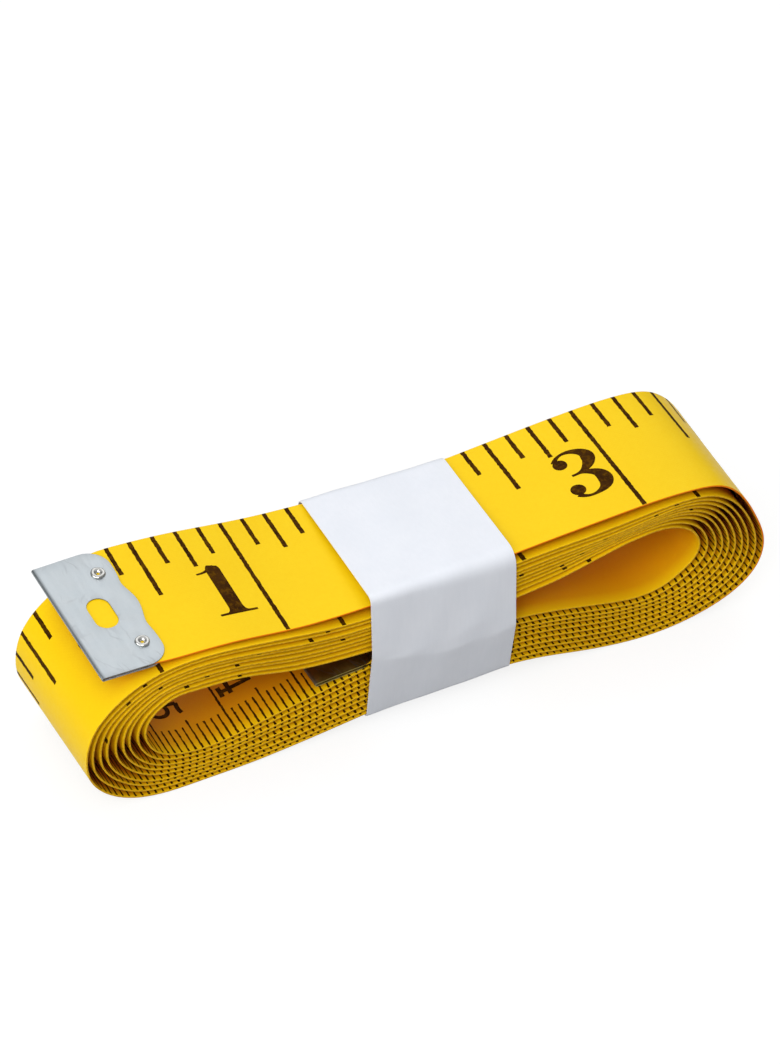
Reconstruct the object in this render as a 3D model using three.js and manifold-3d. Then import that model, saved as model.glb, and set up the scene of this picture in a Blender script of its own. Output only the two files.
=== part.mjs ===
// A cloth tape measure wound flat into a hank, pinched at its waist by a glued paper band.
// Millimetres. +X runs along the hank to its plain end, +Z is up and the floor is at Z = 0.

import * as THREE from 'three';
import { mergeVertices } from 'three/addons/utils/BufferGeometryUtils.js';
import Module from 'manifold-3d';

// Tape
const tapeWidth = 21;
const tapeThickness = 0.35;

// Hank: heights are those of the outermost turn's outer face
const turns = 10;
const hankLength = 96.85;
const tailHeight = 23.4;
const rightCrownHeight = 23.35;
const waistTopHeight = 21.1;
const waistBottomHeight = 3.3;
const waistTopX = -3.1;
const waistBottomX = 2.9;
const footLength = 3;

// How far each turn lies inside the one around it, and the slack inside the outermost turn
const crownPitch = 0.78;
const waistPitch = 0.8;
const leftSolePitch = 0.785;
const rightSolePitch = 0.82;
const endPitch = 1;
const tailSlack = 0.72;
const endSlack = 0.8;

// Length of the round bends at both ends, and how far their centres move with each turn
const leftBendDepth = 14.3;
const rightBendDepth = 14.5;
const leftCentreStep = 0.12;
const rightCentreStep = 0.33;

// How far the outer end stops short of the hank's end, and the inner end runs on past the waist
const outerTipInset = 2.225;
const innerTailLength = 20.2;

// Folded metal end tips
const sheetThickness = 0.25;
const tipClearance = 0.1;
const tipLength = 10;
const notchDepth = 0.65;
const notchOffset = 3.65;
const middleLobeReach = 9.9;
const cornerRadius = 2.9;
const flankOffset = 6.4;
const slotWidth = 3;
const slotLength = 5.4;
const slotFromEnd = 5.1;

// Hollow eyelets that clench the tips
const eyeletFromEnd = 7.45;
const eyeletOffset = 6.6;
const eyeletBoreRadius = 0.35;
const eyeletShankRadius = 0.6;
const eyeletFlangeRadius = 0.95;
const flangeThickness = 0.18;
const eyeletClearance = 0.06;

// Paper band
const paperThickness = 0.25;
const bandWidth = 20.7;
const bandCentreX = 1.35;
const bandClearance = 0.25;
const bandTopCornerRadius = 0.9;
const bandBottomCornerRadius = 0.5;
const creaseHeight = 11.3;
const creaseBulge = 0.55;
const lapLength = 12;

// Facets
const bendSteps = 14;
const waistSteps = 8;
const eyeletSides = 16;
const cornerSteps = 6;

const overrun = 1;

const yellowVinyl = new THREE.MeshStandardMaterial({ color: 0xffd21c, roughness: 0.35 });
const paleSteel = new THREE.MeshStandardMaterial({ color: 0xc9ccd0, roughness: 0.35, metalness: 0.9 });
const brightSteel = new THREE.MeshStandardMaterial({ color: 0xe4e4e2, roughness: 0.15, metalness: 1 });
const whitePaper = new THREE.MeshStandardMaterial({ color: 0xeef2fa, roughness: 0.8 });

const wasm = await Module();
wasm.setup();

// Solids

function toSolid(geometry) {
  const bare = geometry.clone();
  bare.deleteAttribute('normal');
  bare.deleteAttribute('uv');
  const merged = mergeVertices(bare);
  return new wasm.Manifold(new wasm.Mesh({
    numProp: 3,
    vertProperties: new Float32Array(merged.attributes.position.array),
    triVerts: new Uint32Array(merged.index.array),
  }));
}

function toMesh(name, solid, material) {
  const { numProp, vertProperties, triVerts } = solid.getMesh();
  const geometry = new THREE.BufferGeometry();
  const buffer = new THREE.InterleavedBuffer(vertProperties, numProp);
  geometry.setAttribute('position', new THREE.InterleavedBufferAttribute(buffer, 3, 0));
  geometry.setIndex(new THREE.BufferAttribute(triVerts, 1));
  const flat = geometry.toNonIndexed();
  flat.computeVertexNormals();
  const mesh = new THREE.Mesh(flat, material);
  mesh.name = name;
  return mesh;
}

const alongX = new THREE.Vector3(1, 0, 0);
const alongY = new THREE.Vector3(0, 1, 0);
const alongZ = new THREE.Vector3(0, 0, 1);

// A shape drawn in X and Y, extruded along Z about the origin
function acrossZ(shape, length) {
  const options = { depth: length, bevelEnabled: false, curveSegments: cornerSteps };
  return new THREE.ExtrudeGeometry(shape, options).translate(0, 0, -length / 2);
}

// A shape drawn in Y and Z, extruded along X about the origin
function acrossX(shape, length) {
  const turned = new THREE.Matrix4().makeBasis(alongY, alongZ, alongX);
  return acrossZ(shape, length).applyMatrix4(turned);
}

// A shape drawn in X and Z, extruded along Y about the origin
function acrossY(shape, length) {
  const turned = new THREE.Matrix4().makeBasis(alongX, alongZ, alongY.clone().negate());
  return acrossZ(shape, length).applyMatrix4(turned);
}

// Hank: the outer face of each turn, counted from 0 outside, at its crowns, waist, soles and ends

const inside = turn => Math.min(turn, 1);
const leftCrown = turn => tailHeight - tailSlack * inside(turn) - crownPitch * turn;
const rightCrown = turn => rightCrownHeight - crownPitch * turn;
const waistTop = turn => waistTopHeight - waistPitch * turn;
const waistBottom = turn => waistBottomHeight + waistPitch * turn;
const leftSole = turn => leftSolePitch * turn;
const rightSole = turn => rightSolePitch * turn;
const leftEnd = turn => -hankLength / 2 + endPitch * turn;
const rightEnd = turn => hankLength / 2 - endSlack * inside(turn) - endPitch * turn;
const leftCentre = turn => -hankLength / 2 + leftBendDepth + leftCentreStep * turn;
const rightCentre = turn => hankLength / 2 - rightBendDepth - rightCentreStep * turn;

// Height of a smooth swell between two level points of the route, at a share of the way
const swellHeight = (from, to, share) => from.z + (to.z - from.z) * (1 - Math.cos(Math.PI * share)) / 2;

function swell(from, to) {
  const points = [];
  for (let i = 1; i <= waistSteps; i++) {
    const share = i / waistSteps;
    const slope = (to.z - from.z) * Math.PI / 2 * Math.sin(Math.PI * share) / (to.x - from.x);
    points.push({
      x: from.x + (to.x - from.x) * share,
      z: swellHeight(from, to, share),
      heading: Math.atan2(slope * Math.sign(to.x - from.x), Math.sign(to.x - from.x)),
    });
  }
  return points;
}

// Half an ellipse from one level point to the other, out to the given end
function bend(from, to, end) {
  const reach = end - from.x;
  const half = (from.z - to.z) / 2;
  const points = [];
  for (let i = 1; i <= bendSteps; i++) {
    const angle = Math.PI * i / bendSteps;
    points.push({
      x: from.x + reach * Math.sin(angle),
      z: from.z - half + half * Math.cos(angle),
      heading: Math.atan2(-half * Math.sin(angle), reach * Math.cos(angle)),
    });
  }
  return points;
}

const level = (x, z, heading) => ({ x, z, heading });
const topOfWaist = turn => level(waistTopX, waistTop(turn));
const bottomOfWaist = turn => level(waistBottomX, waistBottom(turn));

// The outer face of the tape from its outer end to its inner end
function hankRoute() {
  const route = [level(outerTipX + foldRadius, leftCrown(0), 0), level(leftCentre(0), leftCrown(0), 0)];
  for (let turn = 0; turn < turns; turn++) {
    const right = rightCentre(turn);
    const left = leftCentre(turn);
    route.push(...swell(route[route.length - 1], topOfWaist(turn)));
    route.push(...swell(topOfWaist(turn), level(right, rightCrown(turn))));
    route.push(...bend(level(right, rightCrown(turn)), level(right, rightSole(turn)), rightEnd(turn)));
    route.push(level(right - footLength, rightSole(turn), Math.PI));
    route.push(...swell(level(right - footLength, rightSole(turn)), bottomOfWaist(turn)));
    if (turn < turns - 1) {
      route.push(...swell(bottomOfWaist(turn), level(left + footLength, leftSole(turn))));
      route.push(level(left, leftSole(turn), Math.PI));
      route.push(...bend(level(left, leftSole(turn)), level(left, leftCrown(turn + 1)), leftEnd(turn)));
    }
  }
  route.push(level(innerTipX + foldRadius, waistBottom(turns - 1), Math.PI));
  return route;
}

// The same route on the tape's inner face
function innerFace(route) {
  return route.map(({ x, z, heading }) => ({
    x: x + tapeThickness * Math.sin(heading),
    z: z - tapeThickness * Math.cos(heading),
  }));
}

function ribbon(route) {
  const positions = [];
  const inner = innerFace(route);
  route.forEach((outer, i) => {
    for (const [face, side] of [[outer, -1], [outer, 1], [inner[i], 1], [inner[i], -1]]) {
      positions.push(face.x, side * tapeWidth / 2, face.z);
    }
  });
  const index = [];
  const quad = (a, b, c, d) => index.push(a, b, c, a, c, d);
  for (let i = 0; i < route.length - 1; i++) {
    for (let corner = 0; corner < 4; corner++) {
      const next = (corner + 1) % 4;
      quad(4 * i + corner, 4 * i + 4 + corner, 4 * i + 4 + next, 4 * i + next);
    }
  }
  const last = 4 * (route.length - 1);
  quad(0, 1, 2, 3);
  quad(last + 3, last + 2, last + 1, last);
  const geometry = new THREE.BufferGeometry();
  geometry.setAttribute('position', new THREE.Float32BufferAttribute(positions, 3));
  geometry.setIndex(index);
  return geometry;
}

// The least gap between one turn's inner face and the outer face of the turns inside it
function leastGap(route) {
  const inner = innerFace(route);
  const turnSteps = Math.floor(route.length / turns);
  const point = new THREE.Vector3();
  const nearest = new THREE.Vector3();
  let gap = Infinity;
  for (let i = 0; i < inner.length - 1; i++) {
    const stretch = new THREE.Line3(
      new THREE.Vector3(inner[i].x, 0, inner[i].z), new THREE.Vector3(inner[i + 1].x, 0, inner[i + 1].z));
    for (let j = i + Math.floor(turnSteps / 2); j < route.length; j++) {
      point.set(route[j].x, 0, route[j].z);
      stretch.closestPointToPoint(point, true, nearest);
      gap = Math.min(gap, nearest.distanceTo(point));
    }
  }
  return gap;
}

function routeLength(route) {
  let length = 0;
  for (let i = 1; i < route.length; i++) {
    length += Math.hypot(route[i].x - route[i - 1].x, route[i].z - route[i - 1].z);
  }
  return length;
}

// End tips: a strip folded round the end of the tape, with a scalloped edge and a hanging slot

const foldGap = tapeThickness / 2 + tipClearance;
const foldRadius = foldGap + sheetThickness;
const outerTipX = outerTipInset - hankLength / 2;
const innerTipX = waistBottomX - innerTailLength;
const outerTipZ = tailHeight - tapeThickness / 2;
const innerTipZ = waistBottom(turns - 1) + tapeThickness / 2;

function foldedSection() {
  const shape = new THREE.Shape();
  shape.moveTo(tipLength + overrun, foldRadius);
  shape.lineTo(foldRadius, foldRadius);
  shape.absarc(foldRadius, 0, foldRadius, Math.PI / 2, 3 * Math.PI / 2, false);
  shape.lineTo(tipLength + overrun, -foldRadius);
  shape.lineTo(tipLength + overrun, -foldGap);
  shape.lineTo(foldRadius, -foldGap);
  shape.absarc(foldRadius, 0, foldGap, 3 * Math.PI / 2, Math.PI / 2, true);
  shape.lineTo(tipLength + overrun, foldGap);
  return shape;
}

function scallopedOutline() {
  const half = tapeWidth / 2;
  const notchX = tipLength - notchDepth;
  const middleControl = 2 * middleLobeReach - notchX;
  const shape = new THREE.Shape();
  shape.moveTo(-overrun, -half);
  shape.lineTo(tipLength - cornerRadius, -half);
  shape.absarc(tipLength - cornerRadius, cornerRadius - half, cornerRadius, -Math.PI / 2, 0, false);
  shape.lineTo(tipLength, -flankOffset);
  shape.quadraticCurveTo(tipLength, -(flankOffset + notchOffset) / 2, notchX, -notchOffset);
  shape.quadraticCurveTo(middleControl, 0, notchX, notchOffset);
  shape.quadraticCurveTo(tipLength, (flankOffset + notchOffset) / 2, tipLength, flankOffset);
  shape.absarc(tipLength - cornerRadius, half - cornerRadius, cornerRadius, 0, Math.PI / 2, false);
  shape.lineTo(-overrun, half);
  return shape;
}

function slotOutline() {
  const radius = slotWidth / 2;
  const straight = slotLength / 2 - radius;
  const shape = new THREE.Shape();
  shape.absarc(slotFromEnd, straight, radius, 0, Math.PI, false);
  shape.absarc(slotFromEnd, -straight, radius, Math.PI, 2 * Math.PI, false);
  return shape;
}

// Holes for both eyelets, measured from the end of a tip
function eyeletHoles() {
  const radius = eyeletShankRadius + eyeletClearance;
  const hole = side => {
    const pin = new THREE.CylinderGeometry(radius, radius, 2 * foldRadius + overrun, eyeletSides);
    return toSolid(pin.rotateX(Math.PI / 2).translate(eyeletFromEnd, side * eyeletOffset, 0));
  };
  return hole(-1).add(hole(1));
}

function endTip() {
  const height = 2 * foldRadius + overrun;
  const folded = toSolid(acrossY(foldedSection(), tapeWidth));
  const outline = toSolid(acrossZ(scallopedOutline(), height));
  const slot = toSolid(acrossZ(slotOutline(), height));
  return folded.intersect(outline).subtract(slot).subtract(eyeletHoles());
}

// A hollow eyelet with a rolled flange on both faces of the tip
function eyelet() {
  const seat = foldRadius + eyeletClearance;
  const crown = seat + flangeThickness;
  const shoulder = (eyeletFlangeRadius + eyeletShankRadius) / 2;
  const profile = [
    [eyeletBoreRadius, -crown], [shoulder, -crown], [eyeletFlangeRadius, -seat], [eyeletShankRadius, -seat],
    [eyeletShankRadius, seat], [eyeletFlangeRadius, seat], [shoulder, crown], [eyeletBoreRadius, crown],
    [eyeletBoreRadius, -crown],
  ].map(([radius, height]) => new THREE.Vector2(radius, height));
  return toSolid(new THREE.LatheGeometry(profile, eyeletSides).rotateX(Math.PI / 2));
}

// Paper band: a sleeve round the waist, creased on both sides, its ends glued in a lap underneath

// The highest and lowest that the outermost turn gets between the band's two ends
function waistReach() {
  const heights = [bandCentreX - bandWidth / 2, bandCentreX + bandWidth / 2].map(x => {
    const above = x < waistTopX ? level(leftCentre(0), leftCrown(0)) : level(rightCentre(0), rightCrown(0));
    const below = x < waistBottomX
      ? level(leftCentre(0) + footLength, leftSole(0)) : level(rightCentre(0) - footLength, rightSole(0));
    const top = swellHeight(topOfWaist(0), above, (x - waistTopX) / (above.x - waistTopX));
    const bottom = swellHeight(bottomOfWaist(0), below, (x - waistBottomX) / (below.x - waistBottomX));
    return { top, bottom };
  });
  return { top: Math.max(...heights.map(h => h.top)), bottom: Math.min(...heights.map(h => h.bottom)) };
}

function sleeveOutline(reach, outward, lapped) {
  const side = tapeWidth / 2 + bandClearance + outward;
  const crease = side + creaseBulge;
  const top = reach.top + bandClearance + outward;
  const bottom = reach.bottom - bandClearance - outward;
  const topRadius = bandTopCornerRadius + outward;
  const bottomRadius = bandBottomCornerRadius + outward;
  const shape = new THREE.Shape();
  shape.moveTo(-side + bottomRadius, bottom);
  if (lapped) {
    shape.lineTo(-lapLength / 2, bottom);
    shape.lineTo(-lapLength / 2, bottom - paperThickness);
    shape.lineTo(lapLength / 2, bottom - paperThickness);
    shape.lineTo(lapLength / 2, bottom);
  }
  shape.lineTo(side - bottomRadius, bottom);
  shape.absarc(side - bottomRadius, bottom + bottomRadius, bottomRadius, -Math.PI / 2, 0, false);
  shape.lineTo(crease, creaseHeight);
  shape.lineTo(side, top - topRadius);
  shape.absarc(side - topRadius, top - topRadius, topRadius, 0, Math.PI / 2, false);
  shape.lineTo(-side + topRadius, top);
  shape.absarc(-side + topRadius, top - topRadius, topRadius, Math.PI / 2, Math.PI, false);
  shape.lineTo(-crease, creaseHeight);
  shape.lineTo(-side, bottom + bottomRadius);
  shape.absarc(-side + bottomRadius, bottom + bottomRadius, bottomRadius, Math.PI, 3 * Math.PI / 2, false);
  return shape;
}

function paperBand() {
  const reach = waistReach();
  const sleeve = toSolid(acrossX(sleeveOutline(reach, paperThickness, true), bandWidth));
  const bore = toSolid(acrossX(sleeveOutline(reach, 0, false), bandWidth + overrun));
  return sleeve.subtract(bore).translate([bandCentreX, 0, 0]);
}

// Assembly

const route = hankRoute();
const group = new THREE.Group();

const holesAt = (x, z) => eyeletHoles().translate([x, 0, z]);
const pierced = toSolid(ribbon(route))
  .subtract(holesAt(outerTipX, outerTipZ))
  .subtract(holesAt(innerTipX, innerTipZ));
group.add(toMesh('tape_ribbon', pierced, yellowVinyl));

for (const [end, x, z] of [['outer', outerTipX, outerTipZ], ['inner', innerTipX, innerTipZ]]) {
  group.add(toMesh(`${end}_end_tip`, endTip().translate([x, 0, z]), paleSteel));
  for (const [place, side] of [['near', -1], ['far', 1]]) {
    const seated = eyelet().translate([x + eyeletFromEnd, side * eyeletOffset, z]);
    group.add(toMesh(`${end}_eyelet_${place}`, seated, brightSteel));
  }
}

group.add(toMesh('paper_band', paperBand(), whitePaper));

console.log(`Tape length ${routeLength(route).toFixed(0)} mm`);
console.log(`Least gap between turns ${leastGap(route).toFixed(3)} mm`);

export default group;
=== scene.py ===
# Looks of the cloth tape measure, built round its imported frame
# Lengths are in millimetres until a mesh is made

import math

import bmesh
import bpy
import numpy as np
from mathutils import Matrix, Vector


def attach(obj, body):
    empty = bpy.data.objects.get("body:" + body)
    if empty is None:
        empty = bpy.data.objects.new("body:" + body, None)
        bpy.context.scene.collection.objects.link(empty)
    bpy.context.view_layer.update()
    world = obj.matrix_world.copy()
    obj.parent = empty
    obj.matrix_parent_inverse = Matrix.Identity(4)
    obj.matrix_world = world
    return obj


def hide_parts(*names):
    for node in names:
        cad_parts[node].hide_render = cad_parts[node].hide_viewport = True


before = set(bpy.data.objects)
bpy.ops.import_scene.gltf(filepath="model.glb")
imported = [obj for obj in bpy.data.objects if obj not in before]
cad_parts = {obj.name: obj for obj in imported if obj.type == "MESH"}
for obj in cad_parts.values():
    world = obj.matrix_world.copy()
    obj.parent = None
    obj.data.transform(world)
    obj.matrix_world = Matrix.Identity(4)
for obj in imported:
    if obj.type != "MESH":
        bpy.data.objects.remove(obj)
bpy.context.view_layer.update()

MM = 0.001
INCH = 25.4

# Tape
HALF_WIDTH = 10.5
THICKNESS = 0.25
EDGE_RADIUS = 0.07
TURNS = 10
TAPE_COLUMNS = 9
# The tape has a new ring after about this length, or after about this much of a turn
RING_STEP, RING_ANGLE = 2.2, math.radians(6)
ROUTE_STEP = 0.1
# Millimetres of tape in one unit of its chart
CHART_UNIT = 100
# How far the tape is narrowed inside a tip, how deep that reaches, and the length over which it fades
TUCK, TUCK_LENGTH, TUCK_EASE = 0.35, 8.9, 2.0
# x of the outer tip's fold, from which the length along the tape counts
TIP_X = -46.2

# The outer face of the tape at its near edge: x and z of turns 0, 1 and the last, at places round a turn
TOP_LEFT = [
    [(-33.0, 22.72), (-33.0, 22.02), (-33.0, 16.85)],
    [(-27.0, 22.35), (-27.0, 21.58), (-27.0, 16.60)],
    [(-20.5, 21.50), (-20.5, 20.68), (-20.5, 15.20)],
    [(-14.0, 21.12), (-14.0, 19.85), (-14.0, 14.45)],
]
TOP_MIDDLE = [
    [(-6.0, 21.25), (-6.0, 19.75), (-6.0, 14.25)],
    [(3.0, 21.60), (3.0, 20.30), (3.0, 14.60)],
    [(11.5, 22.32), (11.5, 21.15), (11.5, 15.55)],
    [(18.0, 22.86), (18.0, 21.62), (18.0, 16.50)],
]
TOP_RIGHT = [
    [(25.0, 23.38), (25.0, 22.02), (24.5, 18.10)],
    [(31.0, 23.75), (30.5, 22.48), (29.5, 18.88)],
]
RIGHT = [
    [(37.0, 23.70), (36.3, 22.58), (33.0, 18.72)],
    [(41.7, 22.60), (40.3, 21.70), (35.8, 17.70)],
    [(44.7, 19.60), (43.3, 19.50), (37.6, 16.25)],
    [(46.9, 15.40), (45.8, 15.60), (38.55, 14.60)],
    [(48.40, 10.50), (47.1, 10.90), (38.75, 13.10)],
    [(47.7, 6.60), (46.4, 7.10), (38.15, 11.40)],
    [(45.0, 3.50), (43.8, 4.20), (36.5, 9.75)],
    [(40.4, 1.30), (39.6, 2.15), (34.0, 8.25)],
]
UNDER_RIGHT = [
    [(34.0, 0.10), (33.5, 0.98), (30.8, 7.55)],
    [(27.5, 0.30), (27.3, 1.15), (26.0, 8.10)],
    [(21.0, 1.40), (21.0, 2.20), (20.5, 9.35)],
    [(15.0, 2.60), (15.0, 3.38), (15.0, 10.40)],
    [(8.0, 3.15), (8.0, 3.90), (8.0, 11.05)],
    [(0.0, 3.20), (0.0, 3.95), (0.0, 11.15)],
]
UNDER_LEFT = [
    [(-9.0, 2.35), (-9.0, 3.05), (-9.0, 10.35)],
    [(-15.0, 1.45), (-15.0, 2.10), (-15.0, 9.00)],
    [(-20.7, 0.70), (-20.7, 1.35), (-20.7, 7.80)],
    [(-26.5, 0.22), (-26.5, 0.90), (-26.3, 6.50)],
    [(-32.0, 0.10), (-32.0, 0.82), (-31.6, 5.65)],
]
LEFT = [
    [(-37.2, 0.16), (-37.0, 0.92), (-35.0, 5.95)],
    [(-42.0, 1.15), (-41.4, 1.88), (-37.6, 6.85)],
    [(-45.8, 3.55), (-44.85, 4.15), (-39.3, 8.45)],
    [(-48.0, 6.90), (-47.05, 7.20), (-40.1, 10.15)],
    [(-48.40, 10.60), (-47.5, 10.70), (-40.3, 11.90)],
    [(-47.5, 14.30), (-46.6, 14.15), (-39.6, 13.85)],
    [(-44.7, 18.00), (-43.8, 17.45), (-38.1, 15.45)],
    [(-40.3, 20.80), (-39.7, 20.05), (-36.2, 16.55)],
]
OUTER_END = [(-45.8, 23.02), (-40.0, 22.93)]
INNER_END = [(-8.5, 11.05), (-16.6, 10.35)]

# Shares of the way from turn 1 to the last one that each turn between lies at
TOP_SHARES = [0.0, 0.12, 0.25, 0.37, 0.50, 0.63, 0.75, 0.88, 1.0]
TOP_RIGHT_SHARES = [0.0, 0.17, 0.31, 0.42, 0.53, 0.64, 0.75, 0.87, 1.0]
RIGHT_SHARES = [0.0, 0.13, 0.24, 0.36, 0.48, 0.59, 0.71, 0.86, 1.0]
UNDER_RIGHT_SHARES = [0.0, 0.12, 0.26, 0.38, 0.51, 0.63, 0.74, 0.85, 1.0]
UNDER_LEFT_SHARES = [0.0, 0.14, 0.28, 0.41, 0.57, 0.70, 0.85, 1.0]
LEFT_SHARES = [0.0, 0.15, 0.27, 0.44, 0.58, 0.70, 0.86, 1.0]

# How far each turn stands out of the hank's near side
TOP_LEFT_STAGGER = [0.0, 0.60, 0.53, 0.90, 0.66, 0.60, 0.70, 0.55, 0.68, 0.74]
TOP_MIDDLE_STAGGER = [0.0, 0.70, 0.63, 0.77, 0.63, 0.60, 0.52, 0.56, 0.70, 1.00]
TOP_RIGHT_STAGGER = [0.1, 0.78, 0.85, 0.94, 0.95, 0.88, 0.72, 0.66, 0.62, 1.00]
RIGHT_STAGGER = [0.20, 0.46, 0.38, 0.40, 0.30, 0.32, 0.24, 0.24, 0.24, 0.15]
UNDER_RIGHT_STAGGER = [0.3, 0.34, 0.28, 0.42, 0.32, 0.26, 0.22, 0.34, 0.3, 0.3]
UNDER_LEFT_STAGGER = [0.1, 0.1, 0.18, 0.1, 0.28, 0.2, 0.35, 0.25, 0.3]
LEFT_STAGGER = [0.5, 0.35, 0.28, 0.38, 0.28, 0.34, 0.26, 0.36, 0.32]

# Half the height by which the far edge stands out above the near edge, at each place of a turn
TOP_LEFT_TWIST = [0.50, 0.38, 0.36, 0.17]
TOP_MIDDLE_TWIST = [-0.15, -0.40, -0.58, -0.52]
TOP_RIGHT_TWIST = [-0.42, -0.37]
RIGHT_TWIST = [-0.28, -0.25, 0.05, 0.22, 0.08, 0.0, 0.0, 0.0]
LEFT_TWIST = [0.0, 0.12, 0.28, 0.32, 0.30, 0.32, 0.32, 0.2]
OUTER_END_TWIST = [0.39, 0.56]
# Turns over which the twist dies out, and the number of route points that it is averaged over
TWIST_TURNS, TWIST_POINTS = 12, 51
# Weights by which the stagger at a place is averaged with that of the places round it
STAGGER_BLUR = np.array([1, 2, 3, 2, 1]) / 9
INNER_END_STAGGER = 0.3

# Places, shares, stagger and twist from the top left over the top to the right bend
UPPER = [
    (TOP_LEFT, TOP_SHARES, TOP_LEFT_STAGGER, TOP_LEFT_TWIST),
    (TOP_MIDDLE, TOP_SHARES, TOP_MIDDLE_STAGGER, TOP_MIDDLE_TWIST),
    (TOP_RIGHT, TOP_RIGHT_SHARES, TOP_RIGHT_STAGGER, TOP_RIGHT_TWIST),
    (RIGHT, RIGHT_SHARES, RIGHT_STAGGER, RIGHT_TWIST),
]

# Print: marks start at the far edge on the outer face and at the near edge on the inner face
INCHES = 72
INCH_MARK_WIDTH = 0.6
EIGHTH_MARK, QUARTER_MARK, HALF_MARK = 5.2, 6.8, 10.15
WHOLE_MARK = 2 * HALF_WIDTH - EDGE_RADIUS
# Lengths of the marks by eighths past the inch, where they aren't plain eighths
MARK_LENGTHS = {0: WHOLE_MARK, 2: QUARTER_MARK, 4: HALF_MARK, 6: QUARTER_MARK}
FIGURE_HEIGHT = 9.35
FIGURE_FOOT = -5.9
FIGURE_GAP = 1.1
CENTIMETRES = 180
FIRST_MM_MARK = 4
MM_MARK_WIDTH, CM_MARK_WIDTH = 0.26, 0.3
MM_MARK, FIVE_MM_MARK = 4.3, 5.5
# The share by which the inner face's marks are wider at their start, and over which length
FLARE, FLARE_LENGTH = 0.2, 0.7
CM_FIGURE_HEIGHT = 4.5
CM_FIGURE_GAP = 0.75
CM_FIGURE_RIGHT = -4.0
CM_STROKE = 0.62
INK_LIFT, LAYER_LIFT = 0.012, 0.0015
# Unevenness of the ink's edges and of the marks' lengths
INK_EDGE, MARK_SPREAD = 0.045, 0.08
INK_STEP, INK_SEED = 0.35, 7

# Along the tape, how far the inch print is ahead of the length, and where the centimetre print starts
INCH_CREEP = [
    (0, -0.5), (26, -0.5), (76, -0.2), (227, 1.2), (252, 1.4), (278, 1.4), (303, 1.5), (434, -5.5),
    (462, -5.6), (512, -4.5), (667, -6.5), (680, -6.5), (709, -4.9), (720, -4.9), (861, 2.2),
    (910, 4.0), (1044, -2.2), (1094, -2.1), (1103, -1.6), (1235, 0.0), (1260, 0.3), (1293, 2.0),
    (1426, -3.6), (1475, -3.0), (1604, -3.0), (1656, -5.6), (1784, -6.5), (1834, -5.4), (2000, -5.4),
]
CM_PRINT_START = 12.5


def smooth_path(points, step):
    """Points of a smooth curve through the given ones, a step apart, and the length at each given one."""
    points = np.array(points, float)
    at = np.r_[0, np.cumsum(np.linalg.norm(np.diff(points, axis=0), axis=1))]
    count, gap = len(points), np.diff(at)
    system, right = np.eye(count), np.zeros_like(points)
    for i in range(1, count - 1):
        system[i, i - 1 : i + 2] = gap[i - 1], 2 * (gap[i - 1] + gap[i]), gap[i]
        right[i] = 6 * ((points[i + 1] - points[i]) / gap[i] - (points[i] - points[i - 1]) / gap[i - 1])
    bend = np.linalg.solve(system, right)
    s = np.linspace(0, at[-1], max(2, round(at[-1] / step) + 1))
    k = np.clip(np.searchsorted(at, s, side="right") - 1, 0, count - 2)
    u, h = (s - at[k])[:, None], gap[k][:, None]
    slope = (points[k + 1] - points[k]) / h - h * (2 * bend[k] + bend[k + 1]) / 6
    return points[k] + slope * u + bend[k] / 2 * u**2 + (bend[k + 1] - bend[k]) / (6 * h) * u**3, at


def turn_places(places, shares, stagger, twists, turn):
    """x, z, stagger and twist of one turn at some places round the hank."""
    rows = []
    for (outermost, second, last), twist in zip(places, twists):
        share = shares[turn - 1] if turn else 0
        x, z = outermost if turn == 0 else np.array(second) + share * (np.array(last) - second)
        rows.append((x, z, stagger[turn], twist))
    return rows


def covered(twists, turn):
    """The twist of a turn under the outermost one, which follows it only where its far edge is lower."""
    return twists if turn == 0 else [min(twist, 0.0) * (1 - turn / TWIST_TURNS) for twist in twists]


def hank_places():
    """x, z, stagger and twist all along the tape from its outer end to its inner end."""
    rows = [(x, z, 0.0, twist) for (x, z), twist in zip(OUTER_END, OUTER_END_TWIST)]
    flat = [0.0] * max(len(UNDER_RIGHT), len(UNDER_LEFT))
    for turn in range(TURNS):
        for places, shares, stagger, twists in UPPER:
            rows += turn_places(places, shares, stagger, covered(twists, turn), turn)
        rows += turn_places(UNDER_RIGHT, UNDER_RIGHT_SHARES, UNDER_RIGHT_STAGGER, flat, turn)
        if turn < TURNS - 1:
            rows += turn_places(UNDER_LEFT, UNDER_LEFT_SHARES, UNDER_LEFT_STAGGER, flat, turn)
            rows += turn_places(LEFT, LEFT_SHARES, LEFT_STAGGER, LEFT_TWIST, turn)
    return rows + [(x, z, INNER_END_STAGGER, 0.0) for x, z in INNER_END]


def tape_rings():
    """Rows of length, x and z of the outer face's near edge, x and z of its normal, stagger and twist."""
    rows = np.array(hank_places())
    path, at = smooth_path(rows[:, :2], ROUTE_STEP)
    length = np.r_[0, np.cumsum(np.linalg.norm(np.diff(path, axis=0), axis=1))]
    heading = np.gradient(path, axis=0)
    heading /= np.linalg.norm(heading, axis=1)[:, None]
    turning = np.unwrap(np.arctan2(heading[:, 1], heading[:, 0]))
    stagger = np.convolve(np.pad(rows[:, 2], 2, "edge"), STAGGER_BLUR, "valid")
    along = np.linspace(0, at[-1], len(path))
    stagger, twist = np.interp(along, at, stagger), np.interp(along, at, rows[:, 3])
    flat = np.ones(TWIST_POINTS) / TWIST_POINTS
    twist = np.convolve(np.pad(twist, TWIST_POINTS // 2, "edge"), flat, "valid")
    cost = length / RING_STEP + np.r_[0, np.cumsum(np.abs(np.diff(turning)))] / RING_ANGLE
    wanted = np.interp(np.linspace(0, cost[-1], int(cost[-1]) + 1), cost, np.arange(len(path)))
    columns = [length, path[:, 0], path[:, 1], -heading[:, 1], heading[:, 0], stagger, twist]
    rings = np.stack([np.interp(wanted, np.arange(len(path)), c) for c in columns], axis=1)
    rings[:, 0] += path[0, 0] - TIP_X
    return rings


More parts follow.
